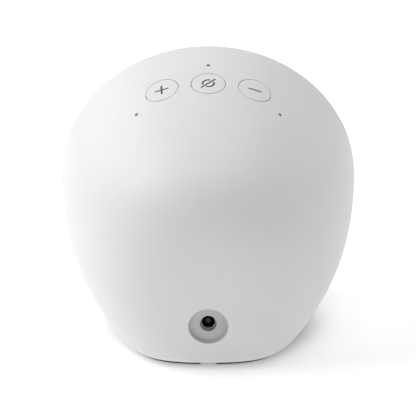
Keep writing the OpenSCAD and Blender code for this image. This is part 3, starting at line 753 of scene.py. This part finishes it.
def fabric(name):
    """The stretched knit: a shallow dome that rolls over its frame's edge and runs back into the rim."""
    rings, count = 46, 240
    a = 2 * math.pi * np.arange(count) / count
    drop = (FACE_Z - FLOOR_Z - 0.4) / math.cos(TILT)
    edge = soft_rim_radius(a, FABRIC_R, drop)
    rise = 3.2
    sphere = (FABRIC_R**2 + rise**2) / (2 * rise)

    def height(r):
        return DOME_H - sphere + np.sqrt(sphere**2 - r**2)

    roll = 1.1
    sheet = Sheet()

    def at(r, h):
        return face_point(r * np.sin(a), r * np.cos(a), -h)

    tip = face_point(0.0, 0.0, -DOME_H)
    ids = sheet.add(at((edge - roll) / rings, height((edge - roll) / rings)))
    sheet.cap(ids.tolist(), tip)
    for i in range(2, rings + 1):
        r = (edge - roll) * i / rings
        ids = sheet.chain([at(r, height(r))], ids)
    shoulder = height(edge - roll)
    turns = np.linspace(0, math.pi / 2, 8)[1:]
    rolled = [at(edge - roll * (1 - math.sin(t)), shoulder - roll * (1 - math.cos(t))) for t in turns]
    sheet.chain(rolled + [at(edge, np.full(count, h)) for h in (-0.5, -1.2)], ids)
    obj = sheet.build(name, sharp=80)
    thick = obj.modifiers.new("cloth", "SOLIDIFY")
    thick.thickness, thick.offset = 0.5 * MM, -1
    return obj


# ---- base and inlet ----

def foot(name):
    """A rubber pad under the shell, with rounded edges, a moulded groove and a notch for the tab."""
    front_l = 30
    outline = level_chain(FOOT_H)[:, :2]
    chord = np.linspace(outline[-1], outline[0], 34)[1:-1]
    outline = np.concatenate([outline, chord])
    n = len(outline)

    def ring(inset, z):
        inset = inset + FOOT_INSET
        side, rear = (tucked(t * EDGE_R + inset) / tucked(t * EDGE_R) for t in (SIDE_TUCK, REAR_TUCK))
        x, y = outline[:, 0] * side, outline[:, 1] - BASE_Y
        y = BASE_Y + y * np.where(y > 0, rear, FOOT_FRONT - inset / front_l)
        notch = (np.abs(x) < NOTCH_HALF_W + inset * 0.3) & (y > 0)
        y = np.where(notch, np.minimum(y, NOTCH_FRONT - inset), y)
        return np.stack([x, y, np.full(n, z)], -1)

    top = FOOT_H - 0.02
    sheet = Sheet()
    ids = sheet.add(ring(0.5, top))
    sheet.cap(ids.tolist(), [0, BASE_Y, top])
    profile = [(0.06, top), (0, top - 0.06), (0, 0.1), (0.03, 0.03), (0.1, 0), (2.4, 0),
               (2.5, 0.12), (3.1, 0.12), (3.2, 0), (9, 0)]
    ids = sheet.chain([ring(i, z) for i, z in profile], ids)
    sheet.cap(ids.tolist(), [0, BASE_Y, 0])
    return sheet.build(name)


def lathe(name, x, z, y_and_r, n=96):
    """A turned piece about a line straight back, from its (y, radius) outline; a radius of 0 closes it."""
    t = 2 * math.pi * np.arange(n) / n
    sheet = Sheet()
    rings = [sheet.add(np.stack([x + r * np.cos(t), np.full(n, y), z + r * np.sin(t)], -1)) for y, r in y_and_r]
    for a, b in zip(rings, rings[1:]):
        sheet.join(a, b)
    sheet.join(rings[-1], rings[0])
    return sheet.build(name)


def bezel(name):
    """The inlet's pale ring, with rounded lips."""
    low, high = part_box("inlet_bezel")
    back, front = low.y / MM, high.y / MM
    inner, outer = 2.05, BEZEL_R
    outline = [(back, inner), (front - 0.25, inner), (front - 0.07, inner + 0.07), (front, inner + 0.16),
               (front, outer - 0.12), (front - 0.04, outer - 0.04), (front - 0.12, outer), (back, outer)]
    return lathe(name, 0, INLET_Z, outline)


# ---- materials ----

def shader(name, **sockets):
    """A new node material and its shader, with even values set on the shader's own sockets."""
    mat = bpy.data.materials.new(name)
    mat.use_nodes = True
    bsdf = mat.node_tree.nodes["Principled BSDF"]
    for key, value in sockets.items():
        bsdf.inputs[key.replace("_", " ")].default_value = value
    return mat, mat.node_tree, bsdf


def node(tree, kind, **settings):
    made = tree.nodes.new(kind)
    for key, value in settings.items():
        if key in made.inputs:
            made.inputs[key].default_value = value
        else:
            setattr(made, key, value)
    return made


def coordinates(tree, stretch=(1, 1, 1)):
    """Object coordinates in millimetres, stretched along the axes."""
    where = node(tree, "ShaderNodeTexCoord")
    scale = node(tree, "ShaderNodeMapping")
    scale.inputs["Scale"].default_value = [v / MM for v in stretch]
    tree.links.new(where.outputs["Object"], scale.inputs["Vector"])
    return scale.outputs["Vector"]


def noise(tree, vector, size, detail=2.0):
    """Noise whose features are about size millimetres across."""
    made = node(tree, "ShaderNodeTexNoise")
    made.inputs["Scale"].default_value = 1 / size
    made.inputs["Detail"].default_value = detail
    tree.links.new(vector, made.inputs["Vector"])
    return made.outputs["Fac"]


def ramp(tree, value, stops):
    """A colour ramp through (place, colour) stops."""
    made = node(tree, "ShaderNodeValToRGB")
    elements = made.color_ramp.elements
    while len(elements) < len(stops):
        elements.new(0.5)
    for element, (at, colour) in zip(elements, stops):
        element.position, element.color = at, (*colour, 1)
    tree.links.new(value, made.inputs["Fac"])
    return made.outputs["Color"]


def spread(tree, value, low, high):
    """A value from 0 to 1 spread over another range."""
    made = node(tree, "ShaderNodeMapRange")
    made.inputs["To Min"].default_value = low
    made.inputs["To Max"].default_value = high
    tree.links.new(value, made.inputs["Value"])
    return made.outputs["Result"]


def add_bump(tree, bsdf, height, depth):
    """A surface relief whose full height is depth millimetres."""
    made = node(tree, "ShaderNodeBump")
    made.inputs["Distance"].default_value = depth * MM
    tree.links.new(height, made.inputs["Height"])
    tree.links.new(made.outputs["Normal"], bsdf.inputs["Normal"])


def shade(colour, k):
    return tuple(min(1.0, c * k) for c in colour)


def moulded(name, colour, roughness, grain=0.12, relief=0.004, vary=0.03, **sockets):
    """Plastic or rubber from a mould: fine grain, faint unevenness of tone and gloss."""
    mat, tree, bsdf = shader(name, **sockets)
    vector = coordinates(tree)
    broad, fine = noise(tree, vector, 9, 3), noise(tree, vector, grain, 2)
    tone = ramp(tree, broad, [(0.3, shade(colour, 1 - vary)), (0.7, shade(colour, 1 + vary))])
    tree.links.new(tone, bsdf.inputs["Base Color"])
    gloss = spread(tree, fine, roughness - 0.04, roughness + 0.04)
    tree.links.new(gloss, bsdf.inputs["Roughness"])
    add_bump(tree, bsdf, fine, relief)
    return mat


def metal(name, colour, roughness, streak=(1, 1, 1), size=0.3, relief=0.002):
    """Bare or plated metal, with fine streaks along the axis that is stretched least."""
    mat, tree, bsdf = shader(name, Metallic=1.0)
    fine = noise(tree, coordinates(tree, streak), size, 4)
    tone = ramp(tree, fine, [(0.3, shade(colour, 0.86)), (0.7, shade(colour, 1.08))])
    tree.links.new(tone, bsdf.inputs["Base Color"])
    tree.links.new(spread(tree, fine, roughness * 0.75, roughness * 1.3), bsdf.inputs["Roughness"])
    add_bump(tree, bsdf, fine, relief)
    return mat


def bands(tree, vector, direction, pitch, distortion=0.0):
    made = node(tree, "ShaderNodeTexWave", bands_direction=direction)
    made.inputs["Scale"].default_value = math.pi / (10 * pitch)
    made.inputs["Distortion"].default_value = distortion
    made.inputs["Detail"].default_value = 1
    tree.links.new(vector, made.inputs["Vector"])
    return made.outputs["Fac"]


def combine(tree, operation, a, b):
    made = node(tree, "ShaderNodeMath", operation=operation)
    tree.links.new(a, made.inputs[0])
    tree.links.new(b, made.inputs[1])
    return made.outputs[0]


def woven(name, dark, light, pitch, relief=0.12):
    """Cloth: two crossing sets of yarns over each other, heathered, with a soft sheen."""
    mat, tree, bsdf = shader(name, Roughness=0.85, Sheen_Weight=0.25, Sheen_Roughness=0.45)
    turned = node(tree, "ShaderNodeMapping")
    turned.inputs["Rotation"].default_value = (TILT, 0, 0)
    tree.links.new(coordinates(tree), turned.inputs["Vector"])
    vector = turned.outputs["Vector"]
    across, up = bands(tree, vector, "X", pitch, 0.4), bands(tree, vector, "Z", pitch, 0.4)
    weave = combine(tree, "MAXIMUM", combine(tree, "MULTIPLY", across, up),
                    combine(tree, "MULTIPLY", invert(tree, across), invert(tree, up)))
    heather = noise(tree, coordinates(tree, (1, 1, 0.35)), 0.8, 3)
    fibre = combine(tree, "ADD", spread(tree, weave, 0, 0.6), spread(tree, heather, 0, 0.45))
    tone = ramp(tree, fibre, [(0.15, dark), (0.75, light)])
    tree.links.new(tone, bsdf.inputs["Base Color"])
    add_bump(tree, bsdf, weave, relief)
    return mat


def invert(tree, value):
    made = node(tree, "ShaderNodeMath", operation="SUBTRACT")
    made.inputs[0].default_value = 1
    tree.links.new(value, made.inputs[1])
    return made.outputs[0]


def circuit(name, mask, copper):
    """Solder mask over a fine pattern of tracks."""
    mat, tree, bsdf = shader(name, Roughness=0.32, Coat_Weight=0.4)
    vector = coordinates(tree)
    cells = node(tree, "ShaderNodeTexVoronoi", distance="MANHATTAN")
    cells.inputs["Scale"].default_value = 0.55
    tree.links.new(vector, cells.inputs["Vector"])
    tracks = bands(tree, vector, "DIAGONAL", 0.7, 0)
    mixed = combine(tree, "MULTIPLY", cells.outputs["Distance"], tracks)
    tone = ramp(tree, mixed, [(0.3, mask), (0.45, copper)])
    tree.links.new(tone, bsdf.inputs["Base Color"])
    add_bump(tree, bsdf, mixed, 0.02)
    return mat


def winding(name, colour, pitch):
    """Fine enamelled wire, wound turn by turn along the driver's axis."""
    mat, tree, bsdf = shader(name, Metallic=1.0, Coat_Weight=0.5)
    turns = bands(tree, coordinates(tree), "Y", pitch)
    # The wire darkens to 0.55 of its colour in a band on each turn: painted shade between the turns.
    tree.links.new(ramp(tree, turns, [(0.1, shade(colour, 0.55)), (0.8, colour)]), bsdf.inputs["Base Color"])
    tree.links.new(spread(tree, turns, 0.25, 0.4), bsdf.inputs["Roughness"])
    add_bump(tree, bsdf, turns, 0.05)
    return mat


def materials():
    """One material for each of the record's slots."""
    colour = {m["slot"]: tuple(m["base_color"][:3]) for m in frame["record"]["materials"]}
    made = {
        "white_shell": moulded("satin_white", (0.80, 0.80, 0.80), 0.46, 0.16, 0.003, 0.008,
                               Specular_IOR_Level=0.42),
        # The recess's faces are the shell's own white plastic made darker: painted shade in the pocket.
        "recess": moulded("recess_painted_shade", (0.62, 0.62, 0.62), 0.55, 0.14, 0.004, 0.012),
        "grille_knit": woven("heather_knit", (0.30, 0.32, 0.34), (0.66, 0.68, 0.70), 0.62),
        "mic_mesh": woven("acoustic_mesh", (0.03, 0.03, 0.03), (0.10, 0.10, 0.10), 0.12, 0.02),
        "spider_cloth": woven("stiff_cloth", (0.42, 0.29, 0.14), (0.68, 0.52, 0.30), 0.3, 0.03),
        "circuit_board": circuit("solder_mask", (0.02, 0.13, 0.07), (0.10, 0.30, 0.14)),
        "copper_coil": winding("enamelled_wire", colour["copper_coil"], 0.15),
        "pale_bezel": moulded("pale_bezel", (0.50, 0.50, 0.50), 0.35, 0.1, 0.001, 0.02),
        "sign_grey": moulded("sign_ink", (0.075, 0.078, 0.082), 0.5, 0.08, 0.002, 0.05),
        "frosted_lens": moulded("frosted_lens", (0.82, 0.86, 0.90), 0.5, 0.08, 0.002, 0.02,
                                Transmission_Weight=0.3, IOR=1.49),
        "zinc_steel": metal("zinc_plate", colour["zinc_steel"], 0.32, (1, 1, 6)),
        "cone_metal": metal("anodised_cone", colour["cone_metal"], 0.38, (1, 4, 1), 0.5),
        "heat_sink_metal": metal("extruded_alloy", colour["heat_sink_metal"], 0.42, (5, 1, 5), 0.4),
        "copper_foil": metal("copper_foil", colour["copper_foil"], 0.3, (1, 1, 1), 0.6),
        "plated_pin": metal("black_nickel", (0.05, 0.05, 0.052), 0.5, (6, 1, 6), 0.2, 0.001),
        "mic_can": metal("gold_can", colour["mic_can"], 0.28, (1, 1, 1), 0.3),
        "basket_paint": moulded("baked_black", colour["basket_paint"], 0.4, 0.2, 0.006, 0.1),
        "ferrite": moulded("ground_ferrite", colour["ferrite"], 0.55, 0.15, 0.01, 0.15),
        "foot_rubber": moulded("foot_rubber", (0.06, 0.062, 0.065), 0.8, 0.2, 0.02, 0.08),
        "amber_film": moulded("amber_film", colour["amber_film"], 0.25, 0.5, 0.002, 0.1, Coat_Weight=0.4),
    }
    for slot, tone in colour.items():
        if slot not in made:
            soft = slot in ("black_rubber", "cable_jacket", "wire_red", "thermal_gel")
            made[slot] = moulded(slot + "_skin", tone, 0.7 if soft else 0.5, 0.15, 0.008, 0.06)
    return made


# ---- stage ----

SOFTBOX_DISTANCE = 1.3
SOFTBOX_SIZE = 0.8
# Name, azimuth in degrees from +X towards +Y, elevation in degrees, power in watts
SOFTBOXES = (
    ("key", 0, 40, 8.8),
    ("face_side", -90, 20, 5.3),
    ("fill_high", 180, 65, 4.3),
    ("key_edge", -40, 20, 3.3),
    ("camera_side", 90, 60, 2.6),
    ("overhead", 0, 88, 2.3),
    ("far_edge", 220, 20, 1.8),
)
WORLD_LIGHT = 0.1
FLOOR_GLOW = 0.25
# The floor's glow starts and is full at these distances, in millimetres, from its middle; the floor without
# glow inside them is a painted contact shadow round the speaker.
PAINTED_SHADOW_RADII = (29, 41)
# Middle of the painted contact shadow on the floor, along y in millimetres.
PAINTED_SHADOW_MIDDLE_Y = -8


def soft_light(name, place_at, aim, size, power):
    """A square softbox."""
    data = bpy.data.lights.new(name, "AREA")
    data.shape, data.size, data.size_y = "RECTANGLE", size, size
    data.energy = power
    lamp = bpy.data.objects.new(name, data)
    lamp.location = place_at
    lamp.rotation_euler = (aim - place_at).to_track_quat("-Z", "Y").to_euler()
    bpy.context.scene.collection.objects.link(lamp)


def studio_floor():
    """A wide pale floor that glows like a light table, but whose glow fades out round where the speaker stands:
    a painted contact shadow.
    """
    bm = bmesh.new()
    bmesh.ops.create_grid(bm, x_segments=8, y_segments=8, size=6)
    mesh = bpy.data.meshes.new("studio_floor")
    bm.to_mesh(mesh)
    bm.free()
    floor = bpy.data.objects.new("studio_floor", mesh)
    bpy.context.scene.collection.objects.link(floor)
    paper = moulded("glowing_floor_painted_shadow", (0.93, 0.93, 0.93), 0.9, 0.5, 0.002, 0.004, Emission_Color=(1, 1, 1, 1))
    tree = paper.node_tree
    radius = node(tree, "ShaderNodeVectorMath", operation="LENGTH")
    place_on_floor = node(tree, "ShaderNodeTexCoord")
    centred = node(tree, "ShaderNodeMapping")
    centred.inputs["Location"].default_value = (0, -PAINTED_SHADOW_MIDDLE_Y, 0)
    centred.inputs["Scale"].default_value = (1 / MM, 1 / MM, 1 / MM)
    tree.links.new(place_on_floor.outputs["Object"], centred.inputs["Vector"])
    tree.links.new(centred.outputs["Vector"], radius.inputs[0])
    # Emission fades to nothing within these radii round the speaker: a painted contact shadow on the floor.
    glow = node(tree, "ShaderNodeMapRange", interpolation_type="SMOOTHSTEP")
    glow.inputs["From Min"].default_value, glow.inputs["From Max"].default_value = PAINTED_SHADOW_RADII
    glow.inputs["To Max"].default_value = FLOOR_GLOW
    tree.links.new(radius.outputs["Value"], glow.inputs["Value"])
    tree.links.new(glow.outputs["Result"], tree.nodes["Principled BSDF"].inputs["Emission Strength"])
    mesh.materials.append(paper)


def studio_world(strength):
    world = bpy.data.worlds.new("studio")
    world.use_nodes = True
    world.node_tree.nodes["Background"].inputs["Color"].default_value = (1, 1, 1, 1)
    world.node_tree.nodes["Background"].inputs["Strength"].default_value = strength
    bpy.context.scene.world = world


def camera():
    """Behind the speaker and a little above it, at the distance and lens of a product photograph."""
    distance, elevation, extra_pitch = 0.6, math.radians(17.14), math.radians(1.196)
    target = Vector((0.0001, FACE_Y * MM, 0.045))
    data = bpy.data.cameras.new("camera")
    data.sensor_width, data.lens = 36, 153.1
    data.clip_start, data.clip_end = 0.05, 30
    cam = bpy.data.objects.new("camera", data)
    cam.location = target + Vector((0, math.cos(elevation), math.sin(elevation))) * distance
    cam.rotation_euler = (math.pi / 2 - elevation - extra_pitch, 0, math.pi)
    bpy.context.scene.collection.objects.link(cam)
    bpy.context.scene.camera = cam


def stage():
    camera()
    studio_floor()
    studio_world(WORLD_LIGHT)
    for name, azimuth, elevation, power in SOFTBOXES:
        a, e = math.radians(azimuth), math.radians(elevation)
        towards = Vector((math.cos(e) * math.cos(a), math.cos(e) * math.sin(a), math.sin(e)))
        aim = Vector((0, 0, 0.05))
        soft_light(name, aim + towards * SOFTBOX_DISTANCE, aim, SOFTBOX_SIZE, power)
    bpy.context.scene.view_settings.view_transform = "Standard"


# ---- the speaker ----

def dress_cad_nodes(finish):
    """Gives every CAD node the material of its slot."""
    slot_of = {s["node"]: s["material_slot"] for s in frame["record"]["subparts"]}
    for name, obj in frame["nodes"].items():
        obj.data.materials.clear()
        obj.data.materials.append(finish[slot_of[name]])
        obj.data.polygons.foreach_set("use_smooth", [True] * len(obj.data.polygons))
        obj.data.set_sharp_from_angle(angle=math.radians(30))


def speaker():
    finish = materials()
    dress_cad_nodes(finish)
    buttons = [Spot(BUTTON_A, BUTTON_S), Spot(0, BUTTON_S), Spot(-BUTTON_A, BUTTON_S)]
    mics = [Spot(a, s) for a, s in MIC_SPOTS]
    shell, recess_shade_faces = rear_shell(buttons, mics, InletSpot())
    place(shell, "speaker", "white_shell", finish["white_shell"], "rear_shell")
    # The faces inside the power recess take the darker material: painted shade.
    shell.data.materials.append(finish["recess"])
    for face in recess_shade_faces:
        shell.data.polygons[face].material_index = 1

    caps = ("volume_up", "mute", "volume_down")
    signs = ("volume_up_sign", "mute_sign_inlay", "volume_down_sign")
    for body, sign_node, spot, paths in zip(caps, signs, buttons, sign_paths()):
        place(button_cap(body + "_button", spot), body, "white_shell", finish["white_shell"], body + "_cap")
        place(sign(body + "_mark", spot, paths), body, "sign_grey", finish["sign_grey"], sign_node)

    place(mic_mesh("mic_mesh", mics), "speaker", "black_rubber", finish["mic_mesh"])
    knit = place(fabric("grille_knit"), "speaker", "grille_knit", finish["grille_knit"], "grille_fabric")
    place(foot("foot_pad"), "speaker", "foot_rubber", finish["foot_rubber"], "rubber_foot")
    place(bezel("bezel_ring"), "speaker", "pale_bezel", finish["pale_bezel"], "inlet_bezel")


speaker()
stage()
